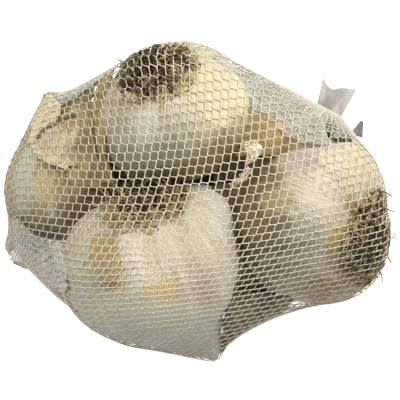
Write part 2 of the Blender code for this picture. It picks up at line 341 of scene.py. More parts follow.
def add_bulb(bulb, material):
    """One bulb, with a point at the root and a point opposite to it."""
    tilt = (np.arange(BULB_ROWS) + 0.5) / BULB_ROWS * math.pi
    tilt, turn = np.meshgrid(tilt, circle(BULB_AROUND), indexing="ij")
    places = inside_net(bulb_face(bulb, tilt, turn))
    ends = np.array([places[0].mean(0), places[-1].mean(0)])
    piece = add_mesh("garlic_bulb_" + bulb["name"], np.concatenate([places.reshape(-1, 3), ends]),
                     grid_faces(BULB_ROWS, BULB_AROUND), material)
    grain = np.stack([np.cos(turn), np.sin(turn), tilt], -1).reshape(-1, 3)
    grain = np.concatenate([grain, [[0, 0, 0], [0, 0, math.pi]]])
    set_values(piece, "grain", "FLOAT_VECTOR", "vector", grain)


# Skin that the net is drawn over, as in the solid net bag before its hollows
def push_out(points):
    """Move points that lie inside a bulb out to its surface."""
    for bulb in COVERED:
        away = points - bulb["middle"]
        far = length_of(away)
        ways = away / far
        reach = (skin_reach(bulb, ways) + NET_COVER)[:, None]
        points = np.where(far < reach, bulb["middle"] + ways * reach, points)
    return raised(points, 0.0)


def neck_ring(count):
    """Points round the root of the neck."""
    _, first, second = axes_about(NECK_WAY, UPWARD)
    turn = circle(count)[:, None]
    return NECK_MIDDLE + NECK_ROOT * (np.cos(turn) * first + np.sin(turn) * second)


def bulb_points(around=40, along=24):
    """Points all over the bulbs and round the root of the neck."""
    tilt = (np.arange(along) + 0.5) / along * math.pi
    ways = ways_about(np.eye(3)[[2, 0, 1]], tilt[:, None], circle(around)).reshape(-1, 3)
    points = [bulb["middle"] + ways * (skin_reach(bulb, ways) + NET_COVER)[:, None]
              for bulb in COVERED]
    return raised(np.concatenate(points + [neck_ring(around)]), 0.0)


def hull_reach(ways):
    """Reach of the sheet stretched round all the bulbs, from the bag's middle."""
    hull = bmesh.new()
    for point in bulb_points():
        hull.verts.new(Vector(point - BAG_MIDDLE))
    found = bmesh.ops.convex_hull(hull, input=hull.verts[:], use_existing_faces=False)
    faces = [part for part in found["geom"] if isinstance(part, bmesh.types.BMFace)]
    normals = np.array([face.normal[:] for face in faces])
    corners = np.array([face.verts[0].co[:] for face in faces])
    hull.free()
    offsets = (normals * corners).sum(1)
    normals[offsets < 0] *= -1
    offsets = np.abs(offsets)
    facing = ways @ normals.T
    return np.where(facing > 1e-6, offsets / np.maximum(facing, 1e-6), 1e9).min(1)


def tight_skin():
    """Rows of points from the neck to the far side, drawn tight over the bulbs."""
    start = math.asin(NECK_ROOT / np.linalg.norm(NECK_MIDDLE - BAG_MIDDLE))
    tilt = start + (math.pi - start) * (np.arange(ALONG) + 1) / (ALONG + 1)
    ways = ways_about(axes_about(NECK_SIDE, UPWARD), tilt[:, None], circle(AROUND))
    reach = hull_reach(ways.reshape(-1, 3)).reshape(ALONG, AROUND, 1)
    neck = neck_ring(AROUND)
    grid = push_out((BAG_MIDDLE + ways * reach).reshape(-1, 3)).reshape(ALONG, AROUND, 3)
    for _ in range(STEPS):
        far = np.broadcast_to(grid[-1].mean(0), (1, AROUND, 3))
        above = np.concatenate([neck[None], grid[:-1]])
        below = np.concatenate([grid[1:], far])
        left, right = np.roll(grid, 1, 1), np.roll(grid, -1, 1)
        area = np.cross(below - above, right - left)
        normal = area / np.maximum(length_of(area), 1e-9)
        move = (above + below + left + right) / 4 - grid
        into = (move * normal).sum(-1, keepdims=True) * normal
        near = np.exp(-((grid - SAG_PLACE) ** 2).sum(-1, keepdims=True) / SAG_SPREAD ** 2)
        sag = SAG_ALL + (SAG_GAP - SAG_ALL) * near
        grid = grid + sag * (into + SLIDE * move + FULLNESS * area / 16)
        grid = push_out(grid.reshape(-1, 3)).reshape(ALONG, AROUND, 3)
    return np.concatenate([neck[None], grid])


def skin_tree():
    """The skin as triangles, for finding where a line from the middle meets it."""
    grid = tight_skin()
    points = np.concatenate([grid.reshape(-1, 3), grid[:1].mean(1), grid[-1:].mean(1)])
    faces = [tuple(face) for group in grid_faces(*grid.shape[:2]) for face in group.tolist()]
    return BVHTree.FromPolygons([Vector(point * MM) for point in points], faces)


bag_tree = skin_tree()
TABLE_TILT, TABLE_TURN = 181, 361


def measure_bag():
    """Distance from the middle of the bag to its skin, by direction."""
    table = np.zeros((TABLE_TILT, TABLE_TURN))
    middle = Vector(BAG_MIDDLE * MM)
    for row in range(TABLE_TILT):
        tilt = math.pi * row / (TABLE_TILT - 1)
        for column in range(TABLE_TURN - 1):
            turn = 2 * math.pi * column / (TABLE_TURN - 1)
            way = Vector((math.sin(tilt) * math.cos(turn), math.sin(tilt) * math.sin(turn),
                          math.cos(tilt)))
            table[row, column] = bag_tree.ray_cast(middle, way)[3] / MM
    table[:, -1] = table[:, 0]
    return table


bag_reach = measure_bag()


def bag_distance(ways):
    """Reach of the bag's skin along unit directions, between the measured ones."""
    tilt = np.arccos(np.clip(ways[..., 2], -1, 1)) / math.pi * (TABLE_TILT - 1)
    turn = (np.arctan2(ways[..., 1], ways[..., 0]) % (2 * math.pi)) / (2 * math.pi) * (TABLE_TURN - 1)
    row = np.clip(tilt.astype(int), 0, TABLE_TILT - 2)
    column = np.clip(turn.astype(int), 0, TABLE_TURN - 2)
    down, across = tilt - row, turn - column
    above, below = (bag_reach[line, column] * (1 - across) + bag_reach[line, column + 1] * across
                    for line in (row, row + 1))
    return above * (1 - down) + below * down


def onto_bag(points):
    """Points moved to the bag's skin along the line from its middle."""
    ways = unit(points - BAG_MIDDLE)
    return raised(BAG_MIDDLE + ways * bag_distance(ways)[..., None], STRAND)


# Lines of the bag from its neck to its far end
def way_of(plane, pole, first, second):
    """Unit direction of a point of the plane that touches the sphere opposite the pole."""
    size = np.abs(plane) ** 2
    return (((2 * plane.real)[..., None] * first + (2 * plane.imag)[..., None] * second
             + (size - 1)[..., None] * pole) / (size + 1)[..., None])


def plane_of(way, pole, first, second):
    """Point of the plane that a unit direction gives."""
    return complex(way @ first, way @ second) / (1 - way @ pole)


def bag_lines(count, steps):
    """Points of lines on the bag from its neck to its far end, equally spread round it."""
    pole = unit(NECK_SIDE + TAIL_SIDE)
    first = unit(NECK_SIDE - TAIL_SIDE)
    second = np.cross(pole, first)
    neck = plane_of(NECK_SIDE, pole, first, second)
    tail = plane_of(TAIL_SIDE, pole, first, second)
    spread = []
    for end, root, far in ((NECK_SIDE, NECK_ROOT, NECK_MIDDLE), (TAIL_SIDE, TAIL_ROOT, TAIL)):
        angle = math.asin(root / np.linalg.norm(far - BAG_MIDDLE))
        near = plane_of(unit(math.cos(angle) * end + math.sin(angle) * second), pole, first, second)
        spread.append(math.log(abs((near - neck) / (near - tail))))
    size = np.linspace(spread[0], spread[1], 8 * steps)
    ratio = np.exp(size + 1j * circle(count)[:, None])
    plane = (neck - ratio * tail) / (1 - ratio)
    fine = onto_bag(BAG_MIDDLE + way_of(plane, pole, first, second))
    lines = np.empty((count, steps, 3))
    for line in range(count):
        length = np.concatenate([[0], np.cumsum(np.linalg.norm(np.diff(fine[line], axis=0), axis=1))])
        even = np.linspace(0, length[-1], steps)
        for axis in range(3):
            lines[line, :, axis] = np.interp(even, length, fine[line, :, axis])
    return onto_bag(lines)


def picture_place(points):
    """Where the camera sees points, in half pictures right of and above the middle."""
    away = points - EYE
    scale = FOCAL_PIXELS / (IMAGE / 2) / -(away @ BACK)
    return (away @ RIGHT) * scale, (away @ UP) * scale


def picture_level(points, slopes):
    """Number of the net's row or column wanted where the camera sees points."""
    x, y = picture_place(points)
    low = np.minimum(y - CLOSE_BELOW - CLOSE_TILT * x, 0)
    return (slopes[0] * y + slopes[1] * y * y + slopes[2] * x + slopes[3] * x * y
            + slopes[4] * x * x + slopes[5] * low * low)


def level_field(lines, seen_around, plain_around, seen_along, plain_along):
    """Numbers at the points of the lines whose steps fit the seen ones best where the camera
    sees the bag, and the plain ones elsewhere."""
    count, steps, _ = lines.shape
    index = np.arange(count * steps).reshape(count, steps)
    normal = np.cross(np.roll(lines, -1, 0) - np.roll(lines, 1, 0), np.gradient(lines, axis=1))
    normal = normal / np.maximum(length_of(normal), 1e-9)
    normal *= np.sign((normal * (lines - BAG_MIDDLE)).sum(-1, keepdims=True))
    seen = np.clip(normal @ BACK, 0, 1) ** 2
    around = np.stack([index.ravel(), np.roll(index, -1, 0).ravel()])
    along = np.stack([index[:, :-1].ravel(), index[:, 1:].ravel()])
    pairs = np.concatenate([around, around, along, along], 1)
    wanted = np.concatenate([seen_around.ravel(), plain_around.ravel(),
                             seen_along.ravel(), plain_along.ravel()])
    weights = np.concatenate([
        (seen * np.roll(seen, -1, 0)).ravel(), np.full(around.shape[1], PLAIN_WEIGHT),
        (seen[:, 1:] * seen[:, :-1]).ravel(), np.full(along.shape[1], PLAIN_WEIGHT)])
    matrix = np.zeros((index.size, index.size))
    right = np.zeros(index.size)
    for start, end, sign in ((0, 0, 1), (1, 1, 1), (0, 1, -1), (1, 0, -1)):
        np.add.at(matrix, (pairs[start], pairs[end]), sign * weights)
    for end, sign in ((1, 1), (0, -1)):
        np.add.at(right, pairs[end], sign * weights * wanted)
    matrix[0, 0] += 1.0
    return np.linalg.solve(matrix, right).reshape(count, steps)


def net_levels(lines):
    """Row and column numbers over the lines; the columns grow by COLUMNS in a full turn."""
    count = len(lines)
    across = np.linalg.norm(np.roll(lines, -1, 0) - lines, axis=-1)
    along = np.linalg.norm(np.diff(lines, axis=1), axis=-1)
    row = picture_level(lines, ROW_SLOPES)
    rows = level_field(lines, np.roll(row, -1, 0) - row, np.zeros_like(across),
                       np.diff(row, axis=1), -along / ROW_PITCH)
    column = picture_level(lines, COLUMN_SLOPES)
    share = COLUMNS / count
    columns = level_field(lines, np.roll(column, -1, 0) - column - share,
                          COLUMNS * across / across.sum(0) - share,
                          np.diff(column, axis=1), np.zeros_like(along))
    return rows, columns + share * np.arange(count)[:, None]


def net_knots(lines, rows, columns):
    """Knots of the honeycomb net by half column and row, found in the triangles of the lines."""
    count, steps, _ = lines.shape
    places, rows, columns = (np.concatenate([grid, grid[:1] + turn])
                             for grid, turn in ((lines, 0), (rows, 0), (columns, COLUMNS)))
    knots = {}
    for line in range(count):
        for step in range(steps - 1):
            square = ((line, step), (line + 1, step), (line + 1, step + 1), (line, step + 1))
            for corners in ((square[0], square[1], square[2]), (square[0], square[2], square[3])):
                level = np.array([(2 * columns[c], rows[c]) for c in corners])
                low, high = level.min(0), level.max(0)
                sides = np.array([level[1] - level[0], level[2] - level[0]]).T
                if abs(np.linalg.det(sides)) < 1e-9:
                    continue
                inverse = np.linalg.inv(sides)
                for half in range(math.ceil(low[0]), math.floor(high[0]) + 1):
                    for row in range(math.floor(low[1] - 0.5), math.ceil(high[1] + 0.5) + 1):
                        lift = ROW_LIFT if (half + row) % 2 == 0 else -ROW_LIFT
                        share = inverse @ (np.array((half, row + lift)) - level[0])
                        if share.min() < -1e-6 or share.sum() > 1 + 1e-6:
                            continue
                        key = (half % (2 * COLUMNS), row)
                        if key not in knots:
                            a, b, c = (places[corner] for corner in corners)
                            knots[key] = a + share[0] * (b - a) + share[1] * (c - a)
    return knots


def net_strands():
    """Places of the knots, a little evened out, and the pairs of them that strands join."""
    lines = bag_lines(LINES, LINE_STEPS)
    rows, columns = net_levels(lines)
    knots = net_knots(lines, rows, columns)
    keys = list(knots)
    number = {key: place for place, key in enumerate(keys)}
    places = onto_bag(np.array([knots[key] for key in keys]))
    strands = []
    for half, row in keys:
        beside = ((half + 1) % (2 * COLUMNS), row)
        above = (half, row + 1)
        if beside in number:
            strands.append((number[half, row], number[beside], ZIGZAG))
        if (half + row) % 2 == 0 and above in number:
            strands.append((number[half, row], number[above], PILLAR))
    strands = np.array(strands)
    pairs, lengths = strands[:, :2].astype(int), strands[:, 2]
    start = places
    for _ in range(EVENING_STEPS):
        away = places[pairs[:, 1]] - places[pairs[:, 0]]
        far = np.maximum(np.linalg.norm(away, axis=1), 1e-6)
        move = (0.5 * EVENING * (far - lengths) / far)[:, None] * away
        total = np.zeros_like(places)
        np.add.at(total, pairs[:, 0], move)
        np.add.at(total, pairs[:, 1], -move)
        places = onto_bag(places + total + HOLDING * (start - places))
    far = np.linalg.norm(places[pairs[:, 1]] - places[pairs[:, 0]], axis=1)
    return places, pairs[far < LONGEST_STRAND]


def add_net(material):
    """Every strand as a thin tube, thicker at the knots, in three pieces from left to right."""
    places, pairs = net_strands()
    starts, ends = places[pairs[:, 0]], places[pairs[:, 1]]
    paths = starts[:, None] + np.array(STRAND_PLACES)[:, None] * (ends - starts)[:, None]
    paths[:, 1:-1] = onto_bag(paths[:, 1:-1])
    radii = np.array(STRAND_WIDTHS) * STRAND * random.normal(1.0, 0.06, (len(paths), 1))
    order = np.argsort(starts[:, 0], kind="stable")
    for part, chosen in enumerate(np.array_split(order, 3)):
        piece = add_tubes("net_part_%d" % (part + 1), paths[chosen], radii[chosen], 4, material)


# Places given by where the camera sees them
def sight(x, y):
    """Unit directions from the camera through pixels of the image."""
    x, y = np.asarray(x, float)[..., None], np.asarray(y, float)[..., None]
    return unit(-BACK * FOCAL_PIXELS + RIGHT * (x - IMAGE / 2) - UP * (y - IMAGE / 2))


def first_inside(x, y, middle, reach):
    """First point along each line of sight within reach of middle, or else the nearest one."""
    ways = sight(x, y)

    def share(far):
        away = EYE + ways[..., None, :] * far[..., None] - middle
        length = length_of(away)
        return (length / reach((away / length).reshape(-1, 3)).reshape(length.shape))[..., 0]

    coarse = np.arange(CAMERA_FAR - SEARCH_NEAR, CAMERA_FAR + SEARCH_PAST, 1.0)
    far = np.broadcast_to(coarse, ways.shape[:-1] + coarse.shape)
    shares = share(far)
    hit = np.where((shares < 1).any(-1), (shares < 1).argmax(-1), shares.argmin(-1))
    start = np.take_along_axis(far, hit[..., None], -1)
    far = start + np.arange(-FINE_STEPS, 1) * FINE_STEP
    shares = share(far)
    hit = np.where((shares < 1).any(-1), (shares < 1).argmax(-1), FINE_STEPS)
    points = EYE + ways * np.take_along_axis(far, hit[..., None], -1)
    away = points - middle
    length = length_of(away)
    limit = reach((away / length).reshape(-1, 3)).reshape(length.shape)
    return middle + away * np.minimum(1.0, limit / length)


def on_net(x, y):
    """Point of the net that the camera sees at a pixel."""
    return first_inside(x, y, BAG_MIDDLE, bag_distance)


def on_bulb(bulb, x, y):
    """Point of a bulb that the camera sees at a pixel."""
    return first_inside(x, y, bulb["middle"], lambda ways: skin_reach(bulb["bare"], ways))


def under_net(x, y, depth, least, floor):
    """Points some depth below the net along the lines of sight, and above the table."""
    return raised(on_net(x, y) + sight(x, y) * np.maximum(depth, least)[..., None], floor)


def inside_net(points):
    """Points moved in until they lie a little under the net."""
    away = points - BAG_MIDDLE
    far = length_of(away)
    room = bag_distance(away / far)[..., None] - UNDER_NET
    return BAG_MIDDLE + away * np.minimum(1.0, room / far)


# Roots
def root_hairs(bulb, count, spread, length, curl, stray, lean):
    """Paths of the dry root hairs of a bulb: curled, and held under the net but for a few."""
    root = unit(bulb["root"])
    tilt = spread * np.sqrt(random.uniform(0, 1, count))
    turn = random.uniform(0, 2 * math.pi, count)
    leaning = 1 + lean[0] * np.cos(turn - math.radians(lean[1]))
    tilt = tilt * leaning
    place = bulb_face(bulb, tilt, turn)
    outward = unit(place - bulb["middle"])
    aside = unit(outward - root * (outward @ root)[:, None] + 1e-6)
    heading = unit(0.5 * outward + 0.5 * aside + HAIR_SCATTER * random.normal(size=(count, 3)))
    twist = random.normal(size=(count, 3))
    rim = (tilt / spread) ** 2
    step = (length * random.uniform(0.5, 1.2, count) / HAIR_STEPS)[:, None]
    loose = random.uniform(0, 1, count) < stray
    bend = np.where(loose, LOOSE_BEND, curl)[:, None]
    edge = MAT_EDGE * spread * leaning
    slack = np.where(random.uniform(0, 1, count) < THROUGH_NET, -THROUGH_BY, BENEATH_BY)
    slack = np.where(loose, -LOOSE_OUT, slack)
    paths = np.empty((count, HAIR_STEPS, 3))
    for index in range(HAIR_STEPS):
        paths[:, index] = place
        twist = TWIST_KEPT * twist + TWIST_NEW * random.normal(size=(count, 3))
        heading = unit(heading + bend * np.cross(twist, heading) * step)
        place = place + heading * step
        away = place - bulb["middle"]
        far = length_of(away)
        way = away / far
        body = skin_reach(bulb["bare"], way)[:, None] + MAT_DEPTH
        angle = np.arccos(np.clip(way @ root, -1, 1))
        aside = unit(way - root * (way @ root)[:, None] + 1e-6)
        angle = np.where(loose, angle, np.minimum(angle, edge))[:, None]
        way = root * np.cos(angle) + aside * np.sin(angle)
        place = bulb["middle"] + way * np.maximum(far, body)
        away = place - BAG_MIDDLE
        far = length_of(away)
        room = (bag_distance(away / far) - slack)[:, None]
        place = raised(BAG_MIDDLE + away / far * np.minimum(far, room), HAIR_FLOOR)
    return paths, rim


def add_roots(bulb, material, count, spread, length, curl, stray, thick, pale, lean):
    """Mat of root hairs of a bulb, paler at its rim."""
    paths, rim = root_hairs(bulb, count, spread, length, curl, stray, lean)
    taper = np.linspace(1.0, HAIR_TAPER, HAIR_STEPS)
    radii = thick * taper[None] * random.uniform(0.6, 1.3, count)[:, None]
    piece = add_tubes("roots_" + bulb["name"], paths, radii, 3, material)
    shade = 0.55 * random.uniform(0, 1, count) + 0.5 * rim + pale
    set_values(piece, "shade", "FLOAT", "value", np.repeat(shade, HAIR_STEPS * 3))


def add_strays(bulb, rows, material):
    """Single hairs that stick out through the net: rows of (x, y, mm towards the camera)."""
    steps = np.linspace(0, 1, STRAY_STEPS)
    flat = np.stack([spline(row, steps) for row in rows])
    paths = on_net(flat[..., 0], flat[..., 1])
    paths = paths + unit(paths - bulb["middle"]) * flat[..., 2:]
    radii = np.broadcast_to(np.linspace(*STRAY_RADII, STRAY_STEPS), paths.shape[:2])
    piece = add_tubes("stray_roots_" + bulb["name"], paths, radii, 4, material)
    set_values(piece, "shade", "FLOAT", "value", np.full(len(piece.data.vertices), 0.35))


# Thin sheets: dry leaves, flaps of skin, film, and dark sheets of painted shade
def spline(values, shares):
    """Smooth values through evenly spaced ones."""
    values = np.asarray(values, float)
    place = np.asarray(shares) * (len(values) - 1)
    low = np.clip(place.astype(int), 0, len(values) - 2)
    part = (place - low)[..., None]
    before, after = np.maximum(low - 1, 0), np.minimum(low + 2, len(values) - 1)
    a, b, c, d = values[before], values[low], values[low + 1], values[after]
    return 0.5 * (2 * b + (c - a) * part + (2 * a - 5 * b + 4 * c - d) * part ** 2
                  + (3 * b - a - 3 * c + d) * part ** 3)


def closed_sheet(name, points, thick, material):
    """Thin closed sheet about a grid of points."""
    across, along = points.shape[:2]
    normal = unit(np.cross(np.gradient(points, axis=0), np.gradient(points, axis=1)) + 1e-9)
    sides = np.concatenate([points + normal * thick / 2, points - normal * thick / 2])
    index = np.arange(2 * across * along).reshape(2 * across, along)
    top, low = index[:across], index[across:]
    quads = [np.stack([top[:-1, :-1], top[1:, :-1], top[1:, 1:], top[:-1, 1:]], -1).reshape(-1, 4),
             np.stack([low[:-1, :-1], low[:-1, 1:], low[1:, 1:], low[1:, :-1]], -1).reshape(-1, 4)]
    above, below = (np.concatenate([side[:, 0], side[-1, 1:], side[-2::-1, -1], side[0, -2:0:-1]])
                    for side in (top, low))
    quads.append(np.stack([above, below, np.roll(below, -1), np.roll(above, -1)], -1))
    return add_mesh(name, sides.reshape(-1, 3), quads, material)


def add_sheet(name, material, crumple, left, right):
    """Thin closed sheet between two edges, each a row of (pixel x, pixel y, depth below the net)."""
    u, v = np.meshgrid(np.linspace(0, 1, SHEET_ACROSS), np.linspace(0, 1, SHEET_ALONG), indexing="ij")
    phase = left[0][0] + right[0][1]
    jag = RAGGED * np.stack([np.sin(23 * v + phase) + np.sin(51 * v + 2 * phase),
                             np.sin(31 * v - phase), 0 * v], -1)
    edge_a, edge_b = spline(left, v) + jag, spline(right, v) - jag
    flat = edge_a * (1 - u[..., None]) + edge_b * u[..., None]
    wave = (np.sin(9 * u + 3 * v + flat[0, 0, 0]) * np.sin(5 * v + 4 * u)
            + 0.5 * np.sin(17 * u - 11 * v))
    points = under_net(flat[..., 0], flat[..., 1], flat[..., 2] + crumple * wave,
                       SHEET_DEPTH, SHEET_FLOOR)
    return closed_sheet(name, points, SHEET_THICK, material)


def add_bunch(name, material, thick, strands, cells, left, right):
    """Netting bunched up under the outer net, between two edges of (pixel x, pixel y, depth)."""
    v = np.linspace(0, 1, 4 * cells + 1)[None]
    turn = 4 * cells * v + 2 * (np.arange(strands) % 2)[:, None]
    zigzag = np.abs(turn % 4 - 2) - 1
    u = (np.arange(strands)[:, None] + BUNCH_WAVE * zigzag) / strands
    flat = spline(left, v) * (1 - u[..., None]) + spline(right, v) * u[..., None]
    depth = flat[..., 2] + 0.35 * np.sin(9 * u + 25 * v) + 0.2 * np.sin(57 * u)
    points = under_net(flat[..., 0], flat[..., 1], depth, BUNCH_DEPTH, BUNCH_FLOOR)
    piece = add_tubes(name, points, np.full(points.shape[:2], thick), 3, material)


# Gathered neck of the net, and the film wrapped round it
def neck_place(step, radius, turn):
    """Points round the neck, some way down from where it leaves the bag."""
    _, first, second = axes_about(NECK_WAY, UPWARD)
    return (NECK_MIDDLE + NECK_WAY * step[..., None] + (radius * np.cos(turn))[..., None] * first
            + (radius * np.sin(turn))[..., None] * second)


def add_neck(material):
    """Strands drawn together from the bag through the clip, with loose ends."""
    turn = random.uniform(0, 2 * math.pi, NECK_STRANDS)[:, None]
    share = random.uniform(0.55, 1.0, NECK_STRANDS)[:, None] ** 0.5
    length = random.uniform(9.0, 11.5, NECK_STRANDS)[:, None]
    step = np.linspace(0, 1, 18)[None] * length
    radius = np.interp(step, NECK_STEPS, NECK_RADII) * share
    turn = turn + 0.25 * np.sin(0.8 * step + 7 * turn)
    paths = neck_place(step, radius, turn)
    piece = add_tubes("gathered_neck", paths, np.full(paths.shape[:2], NECK_THREAD), 4, material)


def add_wrap(name, foot, way, width, turns, material):
    """Crumpled film from round the neck, past the clip, out to the foot of a film piece."""
    u, v = np.meshgrid(np.linspace(0, 1, 28), np.linspace(0, 1, 16), indexing="ij")
    turn = np.radians(turns[0] + (turns[1] - turns[0]) * u)
    start = neck_place(WRAP_DOWN + 0 * u, WRAP_RADIUS + 0.3 * np.sin(9 * u), turn)
    end = np.array(foot) + unit(way) * ((u - 0.5) * width)[..., None]
    grid = start * (1 - v[..., None]) + end * v[..., None]
    crumple = (0.7 * np.sin(11 * u + 5 * v) * np.sin(math.pi * v)
               + 0.3 * np.sin(23 * u - 9 * v) * v * (1 - v) * 3)
    piece = closed_sheet(name, grid + NECK_WAY * crumple[..., None], WRAP_THICK, material)


# Materials
def plain_material(name, colour, roughness, metallic=0.0):
    """Material of one colour."""
    material = bpy.data.materials.new(name)
    material.use_nodes = True
    shader = material.node_tree.nodes[SHADER]
    shader.inputs["Base Color"].default_value = (*colour, 1.0)
    shader.inputs["Roughness"].default_value = roughness
    shader.inputs["Metallic"].default_value = metallic
    return material


def add_node(tree, kind, *inputs, **settings):
    """New shader node; inputs are (name or number, value or socket)."""
    made = tree.nodes.new("ShaderNode" + kind)
    for name, value in settings.items():
        setattr(made, name, value)
    for name, value in inputs:
        if isinstance(value, bpy.types.NodeSocket):
            tree.links.new(value, made.inputs[name])
        else:
            made.inputs[name].default_value = value
    return made


def start_shader(name, colour, roughness, metallic=0.0):
    """Material, its node tree, and the place of each point in the object."""
    material = plain_material(name, colour, roughness, metallic)
    tree = material.node_tree
    return material, tree, add_node(tree, "TexCoord").outputs["Object"]


def finish_shader(tree, colour, height, strength, distance):
    """Give the shader its colour and its fine relief."""
    shader = tree.nodes[SHADER]
    bump = add_node(tree, "Bump", ("Height", height), ("Strength", strength), ("Distance", distance))
    tree.links.new(colour, shader.inputs["Base Color"])
    tree.links.new(bump.outputs["Normal"], shader.inputs["Normal"])


def noise(tree, vector, scale, detail=3.0, roughness=0.5):
    return add_node(tree, "TexNoise", ("Vector", vector), ("Scale", scale), ("Detail", detail),
                    ("Roughness", roughness)).outputs["Fac"]


def ranged(tree, value, low, high, to_low=0.0, to_high=1.0):
    return add_node(tree, "MapRange", ("Value", value), ("From Min", low), ("From Max", high),
                    ("To Min", to_low), ("To Max", to_high),
                    interpolation_type="SMOOTHSTEP").outputs["Result"]


def added(tree, first, second):
    return add_node(tree, "Math", (0, first), (1, second), operation="ADD").outputs[0]


def times(tree, first, second):
    return add_node(tree, "Math", (0, first), (1, second), operation="MULTIPLY").outputs[0]


def scaled(tree, vector, scale):
    return add_node(tree, "VectorMath", (0, vector), (1, scale), operation="MULTIPLY").outputs[0]


def mixed(tree, share, first, second):
    """The first colour, and the second one by its share; each is a colour or a socket."""
    first, second = (value if isinstance(value, bpy.types.NodeSocket) else (*value, 1.0)
                     for value in (first, second))
    return add_node(tree, "Mix", (0, share), (6, first), (7, second), data_type="RGBA").outputs[2]


def stain_and_painted_light_mask(tree, place, middle, wide, high, turn, soft):
    """Share of a stain patch's colour, or of painted light or shade: soft patch about a place on a
    bulb, with a ragged edge.
    """
    cos, sin = math.cos(math.radians(turn)), math.sin(math.radians(turn))
    across = (RIGHT * cos + UP * sin) / (wide * MM * PIXEL)
    upward = (UP * cos - RIGHT * sin) / (high * MM * PIXEL)
    back = BACK / (1.6 * max(wide, high) * MM * PIXEL)
    away = add_node(tree, "VectorMath", (0, place), (1, tuple(middle * MM)),
                    operation="SUBTRACT").outputs[0]
    parts = [add_node(tree, "VectorMath", (0, away), (1, tuple(way)),
                      operation="DOT_PRODUCT").outputs["Value"] for way in (across, upward, back)]
    first, second, third = (times(tree, part, part) for part in parts)
    total = added(tree, added(tree, first, second), third)
    ragged = ranged(tree, noise(tree, place, 150.0, 6.0, 0.65), 0.3, 0.7, -0.6, 0.6)
    return ranged(tree, added(tree, total, ragged), 1.0 + soft, 1.0 - soft)


def skin_material(bulb):
    """Dry garlic skin: pale, with fine ribs from root to neck, stain patches, painted light and shade,
    and a brown root plate.
    """
    material, tree, place = start_shader("garlic_skin_" + bulb["name"], bulb["colour"], 0.42)
    grain = add_node(tree, "Attribute", attribute_name="grain").outputs["Vector"]
    stretched = scaled(tree, grain, (1.0, 1.0, 0.1))
    ribs = noise(tree, stretched, 11.0, 5.0, 0.7)
    fine = noise(tree, stretched, 40.0, 3.0, 0.6)
    broad = noise(tree, stretched, 4.0, 2.0)
    blotches = noise(tree, place, 110.0, 5.0, 0.65)
    colour = mixed(tree, ranged(tree, broad, 0.35, 0.7), bulb["colour"], bulb["warm"])
    colour = mixed(tree, ranged(tree, ribs, 0.48, 0.68, 0.0, 0.75), colour, bulb["rib"])
    colour = mixed(tree, ranged(tree, ribs, 0.44, 0.3, 0.0, 0.7), colour, (0.86, 0.81, 0.7))
    colour = mixed(tree, ranged(tree, fine, 0.5, 0.75, 0.0, 0.45), colour, bulb["rib"])
    colour = mixed(tree, ranged(tree, blotches, 0.52, 0.72, 0.0, 0.6), colour, bulb["warm"])
    for x, y, wide, high, turn, soft, tint, strength in bulb["stains"]:
        mask = stain_and_painted_light_mask(tree, place, on_bulb(bulb, x, y), wide, high, turn, soft)
        colour = mixed(tree, times(tree, mask, strength), colour, tint)
    depth = add_node(tree, "SeparateXYZ", ("Vector", grain)).outputs["Z"]
    depth = added(tree, depth, ranged(tree, noise(tree, place, 300.0, 4.0), 0.3, 0.7, -0.12, 0.12))
    plate = ranged(tree, depth, bulb["plate"] + 0.1, bulb["plate"] - 0.1)
    colour = mixed(tree, plate, colour, (0.05, 0.03, 0.012))
    height = added(tree, ribs, times(tree, fine, 0.3))
    height = added(tree, height, times(tree, blotches, 0.5))
    finish_shader(tree, colour, height, 0.7, 0.0024)
    return material


def hair_material():
    """Dry roots, dark in the mat and straw coloured where they are in the light."""
    material, tree, place = start_shader("root_hair", (0.2, 0.13, 0.06), 0.6)
    shade = add_node(tree, "Attribute", attribute_name="shade").outputs["Fac"]
    shade = added(tree, shade, ranged(tree, noise(tree, place, 220.0), 0.3, 0.7, -0.3, 0.3))
    colour = mixed(tree, ranged(tree, shade, 0.1, 0.6), (0.06, 0.034, 0.011), (0.27, 0.17, 0.06))
    colour = mixed(tree, ranged(tree, shade, 0.5, 0.75), colour, (0.62, 0.47, 0.22))
    finish_shader(tree, colour, noise(tree, place, 900.0), 0.4, 0.0003)
    return material


def leaf_material(name, pale, dark, scale=120.0, fade=None):
    """Dry leaf, flap of skin or dark sheet of painted shade: mottled, finely ribbed, and darkened to
    its right with painted shade if asked.
    """
    material, tree, place = start_shader(name, pale, 0.55)
    large, fine = noise(tree, place, scale, 4.0, 0.6), noise(tree, place, 6 * scale, 3.0)
    colour = mixed(tree, ranged(tree, large, 0.35, 0.68), pale, dark)
    colour = mixed(tree, ranged(tree, fine, 0.5, 0.8, 0.0, 0.5), colour, dark)
    # Painted shade: the colour goes to the fade colour between two X places, darker to the right.
    if fade:
        side = add_node(tree, "SeparateXYZ", ("Vector", place)).outputs["X"]
        side = added(tree, side, ranged(tree, large, 0.3, 0.7, -0.003, 0.003))
        colour = mixed(tree, ranged(tree, side, fade[0], fade[1]), colour, fade[2])
    finish_shader(tree, colour, added(tree, large, fine), 0.6, 0.001)
    return material


def net_material(name, pale, dark):
    """Knitted thread."""
    material, tree, place = start_shader(name, pale, 0.5)
    fibre = noise(tree, place, 1500.0, 2.0)
    finish_shader(tree, mixed(tree, ranged(tree, fibre, 0.3, 0.7), pale, dark), fibre, 0.4, 0.0002)
    return material


